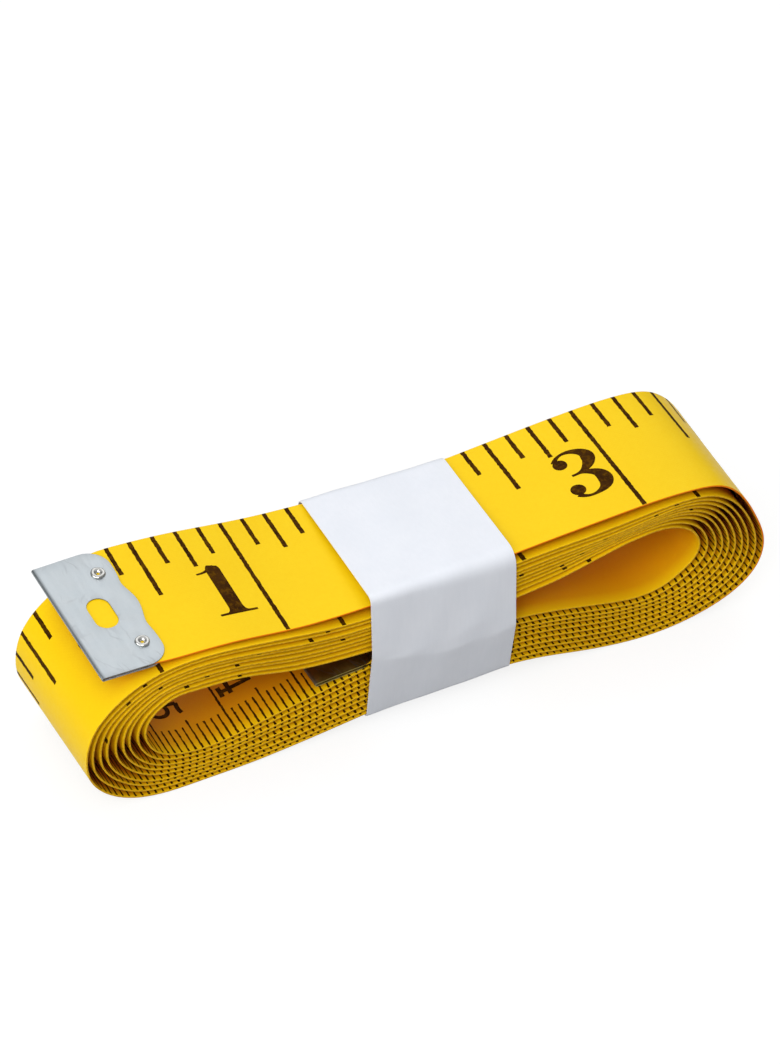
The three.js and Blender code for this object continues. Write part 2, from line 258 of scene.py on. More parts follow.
RINGS = tape_rings()
TAPE_START, TAPE_END = RINGS[0, 0], RINGS[-1, 0]
# How far the tape's line is carried on past its ends
REACH = 4.0


def beyond(end, inward):
    """A ring straight beyond an end of the tape, for the tips that fold round it."""
    away = RINGS[end, :3] - RINGS[inward, :3]
    step = REACH / np.linalg.norm(away[1:])
    ring = RINGS[end].copy()
    ring[:3] += away * step
    ring[0] = RINGS[end, 0] + math.copysign(REACH, away[0])
    return ring


GUIDE = np.vstack([beyond(0, 2), RINGS, beyond(-1, -3)])


def on_tape(s, y, lift):
    """Points at a length along the tape and a place across it, lifted off its outer face, in metres."""
    s, y, lift = np.broadcast_arrays(*(np.asarray(v, float) for v in (s, y, lift)))
    x, z, nx, nz, stagger, twist = (np.interp(s, GUIDE[:, 0], column) for column in GUIDE[:, 1:].T)
    out = lift + twist * (1 + y / HALF_WIDTH)
    return np.stack([x + nx * out, y - stagger, z + nz * out], axis=-1) * MM


# Meshes


def make_object(name, points, faces, smooth=True):
    mesh = bpy.data.meshes.new(name)
    mesh.from_pydata([tuple(p) for p in points], [], [tuple(int(i) for i in f) for f in faces])
    mesh.validate()
    mesh.update()
    mesh.polygons.foreach_set("use_smooth", [smooth] * len(mesh.polygons))
    piece = bpy.data.objects.new(name, mesh)
    bpy.context.scene.collection.objects.link(piece)
    return piece


def grid_faces(rows, columns, start=0, closed=False):
    """Quads of a grid whose points run along the columns first."""
    faces = []
    for i in range(rows - 1):
        for j in range(columns if closed else columns - 1):
            k = (j + 1) % columns
            faces.append((start + i * columns + j, start + i * columns + k,
                          start + (i + 1) * columns + k, start + (i + 1) * columns + j))
    return faces


def dress(piece, body, slot, *materials):
    for material in materials:
        piece.data.materials.append(material)
    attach(piece, body)
    return piece


def tape_section():
    """y and lift round the tape's cross section, with small round edges."""
    half, r, t = HALF_WIDTH, EDGE_RADIUS, THICKNESS
    corner = [(r * (1 - math.cos(a)), r * (1 - math.sin(a))) for a in np.radians([90, 60, 30, 0])]
    near_top = [(-half + inset, -drop) for inset, drop in corner]
    flat = np.linspace(half - 4 * r, -half + 4 * r, TAPE_COLUMNS)
    section = [(y, 0) for y in flat] + near_top
    section += [(y, -t - lift) for y, lift in reversed(near_top)]
    section += [(y, -t) for y in reversed(flat)]
    section += [(-y, -t - lift) for y, lift in near_top]
    section += [(-y, lift) for y, lift in reversed(near_top)]
    return np.array(section)


def build_tape():
    section = tape_section()
    s = np.repeat(RINGS[:, 0], len(section))
    y, lift = np.tile(section, (len(RINGS), 1)).T
    inside = TUCK * np.clip((TUCK_LENGTH - np.minimum(s - TAPE_START, TAPE_END - s)) / TUCK_EASE, 0, 1)
    narrowed = y - np.sign(y) * np.minimum(np.abs(y), inside)
    faces = grid_faces(len(RINGS), len(section), closed=True)
    last = (len(RINGS) - 1) * len(section)
    faces += [tuple(reversed(range(len(section)))), tuple(range(last, last + len(section)))]
    piece = make_object("tape", on_tape(s, narrowed, lift), faces)
    chart = piece.data.uv_layers.new(name="Tape")
    corners = np.zeros(len(piece.data.loops), int)
    piece.data.loops.foreach_get("vertex_index", corners)
    chart.data.foreach_set("uv", np.stack([s[corners], y[corners]], axis=1).ravel() / CHART_UNIT)
    return piece


# Print

# Figures as strokes: x, y and width along each one, in a box 6.2 wide and 9.4 high
FIGURES = {
    "0": [[(3.1, 9.3, 0.5), (1.6, 8.2, 1.4), (1.1, 4.8, 2.0), (1.6, 1.4, 1.4), (3.1, 0.3, 0.5),
           (4.6, 1.4, 1.4), (5.1, 4.8, 2.0), (4.6, 8.2, 1.4), (3.1, 9.3, 0.5)]],
    "1": [[(0.25, 8.1, 0.3), (1.0, 8.15, 0.34), (1.8, 8.4, 0.5), (2.6, 8.8, 0.7), (3.0, 9.05, 0.5)],
          [(2.8, 9.2, 1.3), (2.68, 8.7, 1.85), (2.65, 8.0, 1.95), (2.65, 6.5, 1.95), (2.65, 5.0, 1.95),
           (2.65, 3.5, 1.95), (2.65, 2.0, 1.95), (2.65, 1.2, 1.98), (2.65, 0.75, 2.2), (2.65, 0.4, 2.9)],
          [(0.1, 0.2, 0.36), (1.4, 0.22, 0.4), (2.65, 0.25, 0.46), (3.9, 0.22, 0.4), (5.25, 0.2, 0.36)]],
    "2": [[(0.75, 7.9, 0.8), (1.5, 8.95, 0.6), (2.9, 9.3, 0.7), (4.3, 8.8, 1.3), (4.95, 7.6, 1.9),
           (4.6, 6.3, 1.7), (3.6, 4.9, 1.1), (2.3, 3.4, 0.7), (1.1, 1.9, 0.55), (0.6, 0.9, 0.5)],
          [(0.5, 0.85, 0.9), (1.9, 1.15, 1.3), (3.5, 0.75, 1.3), (5.0, 0.8, 1.1), (5.7, 1.7, 0.5),
           (5.9, 2.8, 0.35)]],
    "3": [[(0.62, 8.1, 0.8), (1.15, 8.75, 0.62), (1.95, 9.22, 0.45), (3.05, 9.32, 0.62), (4.1, 8.98, 1.0),
           (4.88, 8.35, 1.5), (5.16, 7.5, 1.93), (4.95, 6.65, 1.75), (4.4, 5.9, 1.4), (3.55, 5.25, 0.85),
           (2.6, 4.92, 0.46), (1.65, 4.85, 0.42)],
          [(2.3, 4.86, 0.4), (2.9, 4.9, 0.45), (3.7, 4.72, 0.8), (4.5, 4.3, 1.2), (5.1, 3.55, 1.8),
           (5.28, 2.7, 2.06), (5.02, 1.75, 1.85), (4.3, 0.95, 1.2), (3.35, 0.52, 0.66), (2.4, 0.38, 0.45),
           (1.45, 0.62, 0.6), (0.72, 1.25, 0.9)]],
    "4": [[(4.1, 9.2, 0.5), (0.5, 3.0, 0.5)], [(0.2, 2.75, 0.5), (3.0, 2.75, 0.5), (6.0, 2.75, 0.5)],
          [(4.2, 9.3, 1.1), (4.2, 7.5, 1.7), (4.2, 4.0, 1.8), (4.2, 0.8, 1.8), (4.2, 0.4, 2.4)],
          [(2.2, 0.2, 0.36), (4.2, 0.25, 0.46), (6.0, 0.2, 0.36)]],
    "5": [[(1.1, 9.0, 0.6), (2.4, 8.85, 1.0), (3.9, 8.85, 1.1), (5.2, 9.2, 0.5)],
          [(1.15, 9.0, 0.42), (1.0, 5.0, 0.42)],
          [(1.0, 5.0, 0.4), (2.0, 5.7, 0.5), (3.5, 5.7, 1.0), (4.8, 4.7, 1.7), (5.15, 3.1, 2.0),
           (4.7, 1.6, 1.7), (3.6, 0.6, 0.9), (2.4, 0.35, 0.5), (1.3, 0.65, 0.6), (0.75, 1.3, 0.85)]],
    "6": [[(5.2, 8.1, 0.7), (4.7, 9.0, 0.5), (3.7, 9.3, 0.5), (2.5, 8.6, 1.0), (1.5, 7.0, 1.7),
           (1.1, 4.9, 1.95), (1.2, 3.0, 1.9), (1.9, 1.2, 1.3), (3.2, 0.3, 0.5), (4.5, 1.2, 1.3),
           (5.05, 2.9, 1.8), (4.5, 4.6, 1.2), (3.3, 5.5, 0.5), (2.2, 5.0, 0.5), (1.6, 4.2, 0.4)]],
    "7": [[(0.35, 7.2, 0.35), (0.5, 8.3, 0.6), (1.5, 8.85, 1.2), (3.0, 8.55, 1.2), (4.5, 8.6, 1.1),
           (5.7, 9.1, 0.6)],
          [(5.6, 8.9, 0.5), (4.5, 6.7, 0.9), (3.4, 4.3, 1.5), (2.8, 2.2, 1.9), (2.7, 0.3, 2.0)]],
    "8": [[(3.1, 9.3, 0.5), (1.6, 8.6, 1.2), (1.3, 7.3, 1.6), (2.1, 6.0, 1.6), (3.6, 4.9, 1.7),
           (4.9, 3.6, 1.6), (5.15, 2.2, 1.5), (4.5, 0.9, 1.1), (3.1, 0.3, 0.5), (1.6, 0.9, 1.1),
           (1.05, 2.3, 1.3), (1.6, 3.8, 0.9), (3.1, 4.9, 0.6), (4.4, 5.9, 0.8), (4.95, 7.3, 1.1),
           (4.5, 8.6, 1.0), (3.1, 9.3, 0.5)]],
}
FIGURE_WIDTH, FIGURE_BOX_HEIGHT = 6.2, 9.4
# A nine is a six turned half round, about a point at half this height
SIX_TURNED = 9.6
FIGURES["9"] = [[(FIGURE_WIDTH - x, SIX_TURNED - y, w) for x, y, w in reversed(stroke)]
                for stroke in FIGURES["6"]]
# Round ends: x, y and radius
FIGURE_DOTS = {
    "2": [(1.35, 7.35, 0.98)],
    "3": [(1.22, 7.5, 0.98), (1.12, 2.1, 1.04)],
    "5": [(1.15, 2.1, 1.0)],
    "6": [(4.75, 7.95, 0.85)],
    "9": [(1.45, 1.65, 0.85)],
}
STROKE_STEP, STROKE_COLUMNS = 0.35, 5


def stroke_mesh(stroke, width=None):
    """Points and faces of a stroke of varying width, or of one width all along."""
    path, _ = smooth_path(stroke, STROKE_STEP)
    heading = np.gradient(path[:, :2], axis=0)
    heading /= np.linalg.norm(heading, axis=1)[:, None]
    side = np.stack([-heading[:, 1], heading[:, 0]], axis=1)
    half = (path[:, 2] if width is None else np.full(len(path), width)) / 2
    across = np.linspace(-1, 1, STROKE_COLUMNS)
    points = path[:, None, :2] + side[:, None] * (half[:, None] * across)[..., None]
    return points.reshape(-1, 2), grid_faces(len(path), len(across))


def dot_mesh(x, y, radius):
    rings, sides = 4, 20
    angle = np.arange(sides) * 2 * math.pi / sides
    circle = np.stack([np.cos(angle), np.sin(angle)], axis=1)
    points = np.vstack([circle * radius * (k + 1) / rings for k in range(rings)] + [np.zeros((1, 2))])
    faces = grid_faces(rings, sides, closed=True)
    faces += [(rings * sides, j, (j + 1) % sides) for j in range(sides)]
    return points + (x, y), faces


def figure_mesh(figure, width=None):
    """Points, layer and faces of one figure; its strokes lie on layers a hair apart."""
    parts = [stroke_mesh(stroke, width) for stroke in FIGURES[figure]]
    if width is None:
        parts += [dot_mesh(*dot) for dot in FIGURE_DOTS.get(figure, [])]
    points, layers, faces = [], [], []
    for layer, (part, part_faces) in enumerate(parts):
        start = sum(len(p) for p in points)
        points.append(part)
        layers.append(np.full(len(part), layer))
        faces += [tuple(start + i for i in face) for face in part_faces]
    return np.vstack(points), np.concatenate(layers), faces


class Ink:
    """Print gathered as points along and across the tape."""

    def __init__(self, lift):
        self.lift, self.s, self.y, self.layer, self.faces = lift, [], [], [], []
        self.rng = np.random.default_rng(INK_SEED)

    def add(self, s, y, layer, faces):
        start = len(self.s)
        self.s += list(s)
        self.y += list(y)
        self.layer += list(layer)
        self.faces += [tuple(start + i for i in face) for face in faces]

    def mark(self, s, width, start, end, flare=0.0):
        """A line across the tape with slightly uneven edges, wider by a share at its start."""
        rows = max(2, round(abs(end - start) / INK_STEP) + 1)
        y = np.repeat(np.linspace(start, end, rows), 2)
        wider = 1 + flare * np.clip(1 - np.abs(y - start) / FLARE_LENGTH, 0, 1)
        half = np.tile([-width / 2, width / 2], rows) * wider
        uneven = self.rng.uniform(-INK_EDGE, INK_EDGE, 2 * rows)
        self.add(s + half + uneven, y, np.zeros(2 * rows), grid_faces(rows, 2))

    def varied(self, length):
        """A mark's length, made slightly uneven."""
        return length + self.rng.uniform(-MARK_SPREAD, MARK_SPREAD)

    def build(self, name):
        lift = self.lift + math.copysign(LAYER_LIFT, self.lift) * np.array(self.layer)
        return make_object(name, on_tape(self.s, self.y, lift), self.faces, smooth=False)


def printed_inch(inches):
    """Where a reading in inches lies along the tape."""
    at, creep = np.array(INCH_CREEP).T
    return np.interp(inches * INCH, at + creep, at)


def inch_print():
    ink = Ink(INK_LIFT)
    far = HALF_WIDTH - EDGE_RADIUS
    for eighth in range(1, INCHES * 8 + 1):
        length = min(ink.varied(MARK_LENGTHS.get(eighth % 8, EIGHTH_MARK)), 2 * far)
        ink.mark(printed_inch(eighth / 8), INCH_MARK_WIDTH, far, far - length)
    meshes = {figure: figure_mesh(figure) for figure in FIGURES}
    size = FIGURE_HEIGHT / FIGURE_BOX_HEIGHT
    for inch in range(1, INCHES + 1):
        right = printed_inch(inch) - FIGURE_GAP
        for place, figure in enumerate(reversed(str(inch))):
            points, layers, faces = meshes[figure]
            left = right - (place + 1) * FIGURE_WIDTH * size
            ink.add(left + points[:, 0] * size, FIGURE_FOOT + points[:, 1] * size, layers, faces)
    return ink.build("inch_print")


def centimetre_print():
    ink = Ink(-THICKNESS - INK_LIFT)
    near = -HALF_WIDTH + EDGE_RADIUS
    for millimetre in range(FIRST_MM_MARK, CENTIMETRES * 10 + 1):
        s = CM_PRINT_START + millimetre
        if millimetre % 10 == 0:
            ink.mark(s, CM_MARK_WIDTH, near, HALF_WIDTH - EDGE_RADIUS, FLARE)
        else:
            length = FIVE_MM_MARK if millimetre % 5 == 0 else MM_MARK
            ink.mark(s, MM_MARK_WIDTH, near, near + ink.varied(length), FLARE)
    size = CM_FIGURE_HEIGHT / FIGURE_BOX_HEIGHT
    meshes = {figure: figure_mesh(figure, CM_STROKE / size) for figure in FIGURES}
    for centimetre in range(1, CENTIMETRES + 1):
        foot = CM_PRINT_START + centimetre * 10 - CM_FIGURE_GAP
        for place, figure in enumerate(reversed(str(centimetre))):
            points, layers, faces = meshes[figure]
            right = CM_FIGURE_RIGHT + place * FIGURE_WIDTH * size
            y = right + (FIGURE_WIDTH - points[:, 0]) * size
            ink.add(foot - points[:, 1] * size, y, layers, faces)
    return ink.build("centimetre_print")


# Metal ends

SHEET = 0.15
TIP_CLEARANCE = 0.015
# Middle of the folded sheet from the middle of the tape
FOLD_RADIUS = THICKNESS / 2 + TIP_CLEARANCE + SHEET / 2
FOLD_LENGTH = FOLD_RADIUS * math.pi / 2
FOLD_STEPS, FLAT_STEP = 6, 2
TIP_LENGTH, CORNER = 9.45, 3.0
# The scalloped edge: y, and how far it lies short of the tip's length
NOTCH, LOBE = 0.25, 0.4
SCALLOP_END = 6.4
SCALLOP = [(-SCALLOP_END, 0.0), (-4.9, NOTCH / 2), (-3.65, NOTCH), (-2.4, 0.0), (0.0, -LOBE),
           (2.4, 0.0), (3.65, NOTCH), (4.9, NOTCH / 2), (SCALLOP_END, 0.0)]
SCALLOP_STEP = 0.45
# How far towards the far side the middle of the scalloped edge lies
SCALLOP_OFFSET = 0.4
SLOT_AT, SLOT_WIDTH, SLOT_LENGTH = 4.8, 3.0, 5.4
SLOT_Y = -0.1
RIVET_AT, RIVET_Y, RIVET_HOLE = 7.25, 6.5, 0.62
CORNER_STEPS, SLOT_STEPS, HOLE_SIDES = 10, 12, 24
# How much further in the near side of a tip sits than its far side, per millimetre across
TIP_SKEW = 0.023
# Millimetres of a tip in one unit of its chart
SHEET_UNIT = 10
SHEET_BEVEL, BEVEL_FROM, TIP_SHARP = 0.05, math.radians(50), math.radians(40)


def arc(x, y, radius, start, end, steps):
    angles = np.radians(np.linspace(start, end, steps + 1))
    return [(x + radius * math.cos(a), y + radius * math.sin(a)) for a in angles]


def scallop():
    """Half of a tip's outline, from its fold out to the scalloped edge and back, going up in y."""
    half = HALF_WIDTH
    low = arc(TIP_LENGTH - CORNER, CORNER - half, CORNER, -90, 0, CORNER_STEPS)
    middle, _ = smooth_path([(TIP_LENGTH - short, y) for y, short in SCALLOP], SCALLOP_STEP)
    high = arc(TIP_LENGTH - CORNER, half - CORNER, CORNER, 0, 90, CORNER_STEPS)
    shift = SCALLOP_OFFSET * np.clip(1 - np.abs(middle[:, 1]) / SCALLOP_END, 0, 1)
    return low + [(x, y + d) for (x, y), d in zip(middle, shift)] + high


def slot_outline():
    radius, straight = SLOT_WIDTH / 2, (SLOT_LENGTH - SLOT_WIDTH) / 2
    return (arc(SLOT_AT, SLOT_Y + straight, radius, 0, 180, SLOT_STEPS)
            + arc(SLOT_AT, SLOT_Y - straight, radius, 180, 360, SLOT_STEPS))


def rivet_hole(side):
    last = 360 - 360 / HOLE_SIDES
    return arc(RIVET_AT, side * RIVET_Y, RIVET_HOLE, 0, last, HOLE_SIDES - 1)


def flat_tip():
    """The tip before it is folded: a strip with both scalloped edges, its slots and rivet holes."""
    beyond_fold = FOLD_LENGTH - FOLD_RADIUS
    outline = scallop()
    upper = [(x + beyond_fold, y) for x, y in outline]
    lower = [(-x - beyond_fold, y) for x, y in reversed(outline)]
    loops = [upper + lower]
    for hole in (slot_outline(), rivet_hole(-1), rivet_hole(1)):
        for side in (1, -1):
            loops.append([(side * (x + beyond_fold), y) for x, y in hole])
    sheet = bmesh.new()
    for loop in loops:
        corners = [sheet.verts.new((x, y, 0)) for x, y in loop]
        for i, corner in enumerate(corners):
            sheet.edges.new((corners[i - 1], corner))
    bmesh.ops.triangle_fill(sheet, use_beauty=True, use_dissolve=False, edges=sheet.edges[:],
                            normal=(0, 0, 1))
    folds = [FOLD_LENGTH * k / FOLD_STEPS for k in range(-FOLD_STEPS, FOLD_STEPS + 1)]
    steps = range(FLAT_STEP, round(TIP_LENGTH) + 1, FLAT_STEP)
    for x in folds + [side * (FOLD_LENGTH + k) for side in (-1, 1) for k in steps]:
        bmesh.ops.bisect_plane(sheet, geom=sheet.verts[:] + sheet.edges[:] + sheet.faces[:], dist=1e-5,
                               plane_co=(x, 0, 0), plane_no=(1, 0, 0))
    return sheet


def tip_points(flat, at_start):
    """Folds flat points round the tape's outer or inner end."""
    flat = np.array(flat, float)
    angle = np.clip(flat[:, 0] / FOLD_RADIUS, -math.pi / 2, math.pi / 2)
    along = FOLD_RADIUS - FOLD_RADIUS * np.cos(angle) + np.maximum(np.abs(flat[:, 0]) - FOLD_LENGTH, 0)
    along = along - TIP_SKEW * flat[:, 1]
    height = FOLD_RADIUS * np.sin(angle) - THICKNESS / 2
    s = TAPE_START - FOLD_RADIUS + along if at_start else TAPE_END + FOLD_RADIUS - along
    return on_tape(s, flat[:, 1], height)


def build_tip(name, at_start, plate, cut):
    sheet = flat_tip()
    chart = sheet.loops.layers.uv.new("Sheet")
    for face in sheet.faces:
        for corner in face.loops:
            corner[chart].uv = abs(corner.vert.co.x) / SHEET_UNIT, corner.vert.co.y / SHEET_UNIT
    points = tip_points([v.co[:] for v in sheet.verts], at_start)
    for vertex, point in zip(sheet.verts, points):
        vertex.co = point
    bmesh.ops.recalc_face_normals(sheet, faces=sheet.faces[:])
    mesh = bpy.data.meshes.new(name)
    sheet.to_mesh(mesh)
    sheet.free()
    piece = bpy.data.objects.new(name, mesh)
    bpy.context.scene.collection.objects.link(piece)
    mesh.materials.append(plate)
    mesh.materials.append(cut)
    solid = piece.modifiers.new("Sheet", "SOLIDIFY")
    solid.material_offset_rim = 1
    solid.thickness, solid.offset, solid.use_even_offset = SHEET * MM, 0, True
    bevel = piece.modifiers.new("Edges", "BEVEL")
    bevel.width, bevel.segments, bevel.angle_limit = SHEET_BEVEL * MM, 2, BEVEL_FROM
    bake_modifiers(piece)
    piece.data.polygons.foreach_set("use_smooth", [True] * len(piece.data.polygons))
    piece.data.set_sharp_from_angle(angle=TIP_SHARP)
    return piece


def bake_modifiers(piece):
    """Turns a piece's modifiers into its mesh."""
    graph = bpy.context.evaluated_depsgraph_get()
    mesh = bpy.data.meshes.new_from_object(piece.evaluated_get(graph))
    piece.modifiers.clear()
    piece.data = mesh


# A rivet's rolled head from its bore to its seat: radius and height above the sheet
RIVET_PROFILE = [(0.20, -0.16), (0.22, -0.08), (0.29, 0.03), (0.40, 0.14), (0.52, 0.23), (0.65, 0.28),
                 (0.78, 0.27), (0.89, 0.22), (0.95, 0.12), (0.98, 0.0), (0.62, 0.0)]
RIVET_SIDES = 32
# Beyond this radius the head is uneven, in three and in five waves, by these shares
RIVET_ROUND, RIVET_WAVES = 0.4, ((3, 0.025), (5, 0.012))
# How far the waves are turned round a rivet: by its side, and at the outer and the inner end
SIDE_TURN, OUTER_TURN, INNER_TURN = 1.1, 0.6, 2.0


def rivet_points():
    """Radius and height above the tape's middle, over the upper head and the lower one."""
    seat = FOLD_RADIUS + SHEET / 2
    upper = [(r, seat + h) for r, h in RIVET_PROFILE]
    lower = [(r, -h) for r, h in reversed(upper)]
    return upper + lower


def build_rivet(name, at_start, side):
    """A hollow rivet with a rolled head on both faces of a tip, its rim a little uneven."""
    profile, sides = rivet_points(), RIVET_SIDES
    angle = np.arange(sides) * 2 * math.pi / sides
    along = RIVET_AT - FOLD_RADIUS - TIP_SKEW * side * RIVET_Y
    middle = TAPE_START + along if at_start else TAPE_END - along
    turn = side * SIDE_TURN + (OUTER_TURN if at_start else INNER_TURN)
    (slow, high), (fast, low) = RIVET_WAVES
    uneven = high * np.sin(slow * angle + turn) + low * np.sin(fast * angle - turn)
    points = []
    for radius, height in profile:
        around = radius * (1 + uneven * (radius > RIVET_ROUND))
        s, y = middle + around * np.cos(angle), side * RIVET_Y + around * np.sin(angle)
        points.append(on_tape(s, y, height - THICKNESS / 2))
    points = np.vstack(points)
    faces = grid_faces(len(profile), sides, closed=True)
    last = (len(profile) - 1) * sides
    faces += [(last + j, last + (j + 1) % sides, (j + 1) % sides, j) for j in range(sides)]
    piece = make_object(name, points, faces)
    tidy_normals(piece)
    return piece


def tidy_normals(piece):
    work = bmesh.new()
    work.from_mesh(piece.data)
    bmesh.ops.recalc_face_normals(work, faces=work.faces[:])
    work.to_mesh(piece.data)
    work.free()


# Paper sleeve

PAPER = 0.16
SLEEVE_LEFT, SLEEVE_RIGHT = -9.0, 11.46
# How much further right the far side of the sleeve sits, per millimetre across
SLEEVE_SKEW = 0.024
SLEEVE_COLUMNS = 64
# Corners round the sleeve: y, heights from left to right, and how far the bend reaches at both ends
SLEEVE_CORNERS = [
    (6.2, (1.98, 2.13, 2.27, 2.40, 2.53), (0.3, 0.3)),
    (-10.74, (1.96, 2.11, 2.25, 2.38, 2.51), (0.45, 0.8)),
    (-12.05, (13.30, 11.65, 10.80, 10.67, 11.20), (0.5, 0.5)),
    (-12.02, (13.75, 12.60, 12.75, 13.30, 12.25), (0.5, 0.5)),
    (-11.20, (22.90, 22.91, 22.92, 22.93, 22.95), (1.1, 2.3)),
    (11.15, (21.50, 21.46, 21.42, 21.38, 21.35), (1.2, 1.4)),
    (11.60, (11.60, 11.80, 12.00, 11.90, 11.70), (0.9, 0.9)),
    (10.80, (1.78, 1.93, 2.07, 2.20, 2.33), (0.8, 0.8)),
    (-6.0, (1.76, 1.91, 2.05, 2.18, 2.31), (0.3, 0.3)),
]
BEND_STEPS, SIDE_STEP = 8, 0.8
# The most of a side that a bend takes up
BEND_LIMIT = 0.45
# Swells of the paper: height, waves from left to right and waves round the sleeve
LONG_SWELL, SHORT_SWELL = (0.05, 1.3, 3.1), (0.025, 2.7, -5.3)
# Width and step at which the heights from left to right are smoothed
HEIGHT_SPAN, HEIGHT_STEP = 20, 0.2
SLEEVE_SHARP = math.radians(50)


def sleeve_corners(share):
    places = np.linspace(0, 1, len(SLEEVE_CORNERS[0][1]))
    return [(np.array([y, smooth_height(share, places, heights)]), left + (right - left) * share)
            for y, heights, (left, right) in SLEEVE_CORNERS]


def smooth_height(share, places, heights):
    path, _ = smooth_path(np.stack([places * HEIGHT_SPAN, heights], axis=1), HEIGHT_STEP)
    return float(np.interp(share * HEIGHT_SPAN, path[:, 0], path[:, 1]))


def sleeve_line(share, steps):
    """y and z round the sleeve at a share of its width, with a set number of steps along each side."""
    corners = sleeve_corners(share)
    line = [corners[0][0][None]]
    for k in range(1, len(corners)):
        start, end = line[-1][-1], corners[k][0]
        if k == len(corners) - 1:
            line.append(start + (end - start) * np.linspace(0, 1, steps[k] + 1)[1:, None])
            break
        corner, bend = corners[k]
        back, ahead = corners[k - 1][0] - corner, corners[k + 1][0] - corner
        first = corner + back * min(BEND_LIMIT, bend / np.linalg.norm(back))
        last = corner + ahead * min(BEND_LIMIT, bend / np.linalg.norm(ahead))
        line.append(start + (first - start) * np.linspace(0, 1, steps[k] + 1)[1:, None])
        turn = np.linspace(0, 1, BEND_STEPS + 1)[1:, None]
        line.append((1 - turn) ** 2 * first + 2 * turn * (1 - turn) * corner + turn**2 * last)
    return np.vstack(line)


def swell(kind, share, around):
    """How far a swell lifts the paper, at shares of the way from left to right and round it."""
    height, along, across = kind
    return height * np.sin(2 * math.pi * (share * along + around * across))


def sleeve_surface():
    """Middle of the paper as rows along x of points round the sleeve, and its outward normals."""
    middle = [corner for corner, _ in sleeve_corners(0.5)]
    sides = [0.0] + [float(np.linalg.norm(b - a)) for a, b in zip(middle, middle[1:])]
    steps = [max(2, round(side / SIDE_STEP)) for side in sides]
    shares = np.linspace(0, 1, SLEEVE_COLUMNS + 1)
    lines = np.array([sleeve_line(share, steps) for share in shares])
    heading = np.gradient(lines, axis=1)
    heading /= np.linalg.norm(heading, axis=2)[..., None]
    out = np.stack([-heading[..., 1], heading[..., 0]], axis=2)
    out *= np.sign(np.sum(out * (lines - lines.mean(axis=(0, 1))), axis=2).mean())
    share, around = shares[:, None], np.linspace(0, 1, lines.shape[1])[None]
    wave = swell(LONG_SWELL, share, around) * np.sin(math.pi * share) ** 2
    wave = wave + swell(SHORT_SWELL, share, around)
    lines = lines + out * wave[..., None]
    x = SLEEVE_LEFT + (SLEEVE_RIGHT - SLEEVE_LEFT) * share + SLEEVE_SKEW * lines[..., 0]
    surface = np.concatenate([x[..., None], lines], axis=2)
    normal = np.concatenate([np.zeros_like(x)[..., None], out], axis=2)
    return surface, normal, sum(sides)


def build_sleeve():
    surface, normal, girth = sleeve_surface()
    rows, columns = surface.shape[:2]
    points = [(surface + normal * lift).reshape(-1, 3) for lift in (PAPER / 2, -PAPER / 2)]
    back = rows * columns
    faces = grid_faces(rows, columns) + [tuple(reversed(f)) for f in grid_faces(rows, columns, back)]
    rim = [i * columns for i in range(rows)] + [(rows - 1) * columns + j for j in range(1, columns)]
    rim += [i * columns + columns - 1 for i in range(rows - 2, -1, -1)] + list(range(columns - 2, 0, -1))
    faces += [(a, b, back + b, back + a) for a, b in zip(rim, rim[1:] + rim[:1])]
    piece = make_object("paper_sleeve", np.vstack(points) * MM, faces)
    tidy_normals(piece)
    piece.data.set_sharp_from_angle(angle=SLEEVE_SHARP)
    return piece, girth


# Materials


class Material:
    """A material's nodes, added and joined in one call each."""

    def __init__(self, name):
        self.material = bpy.data.materials.new(name)
        self.material.use_nodes = True
        self.tree = self.material.node_tree
        self.shader = self.tree.nodes["Principled BSDF"]

    def add(self, kind, inputs=(), **settings):
        node = self.tree.nodes.new("ShaderNode" + kind)
        for key, value in settings.items():
            setattr(node, key, value)
        for key, value in dict(inputs).items():
            self.feed(node, key, value)
        return node

    def feed(self, node, key, value):
        if isinstance(value, bpy.types.NodeSocket):
            self.tree.links.new(value, node.inputs[key])
        else:
            node.inputs[key].default_value = value

    def math(self, operation, *values):
        return self.add("Math", enumerate(values), operation=operation).outputs[0]

    def noise(self, vector, scale, detail, roughness=0.5):
        inputs = {"Vector": vector, "Scale": scale, "Detail": detail, "Roughness": roughness}
        return self.add("TexNoise", inputs).outputs[0]

    def ramp(self, value, low, high, to_low=0.0, to_high=1.0):
        return self.add("MapRange", {0: value, 1: low, 2: high, 3: to_low, 4: to_high}).outputs[0]

    def blend(self, share, first, second):
        """A mix of two colours, on the colour sockets of the Mix node."""
        return self.add("Mix", {0: share, 6: first, 7: second}, data_type="RGBA").outputs[2]

    def bump(self, height, distance, strength, normal=None):
        """Relief as deep as the distance in millimetres, on top of another relief if that is given."""
        inputs = {"Height": height, "Distance": distance * MM, "Strength": strength}
        if normal is not None:
            inputs["Normal"] = normal
        return self.add("Bump", inputs).outputs[0]

    def set(self, **inputs):
        for key, value in inputs.items():
            self.feed(self.shader, key.replace("_", " "), value)
        return self.material


# Spacing of the threads, the places across the tape where its painted shade fades, and where its cut edge
# begins
WEAVE = 0.55
PAINTED_SHADE_ENDS = (8.5 / CHART_UNIT, 10.3 / CHART_UNIT)
CUT_EDGE = (10.45 / CHART_UNIT, 10.49 / CHART_UNIT)
# Along the tape, where the painted orange glow on the outermost turn's cut edge dies out
PAINTED_GLOW_ENDS = (105 / CHART_UNIT, 125 / CHART_UNIT)


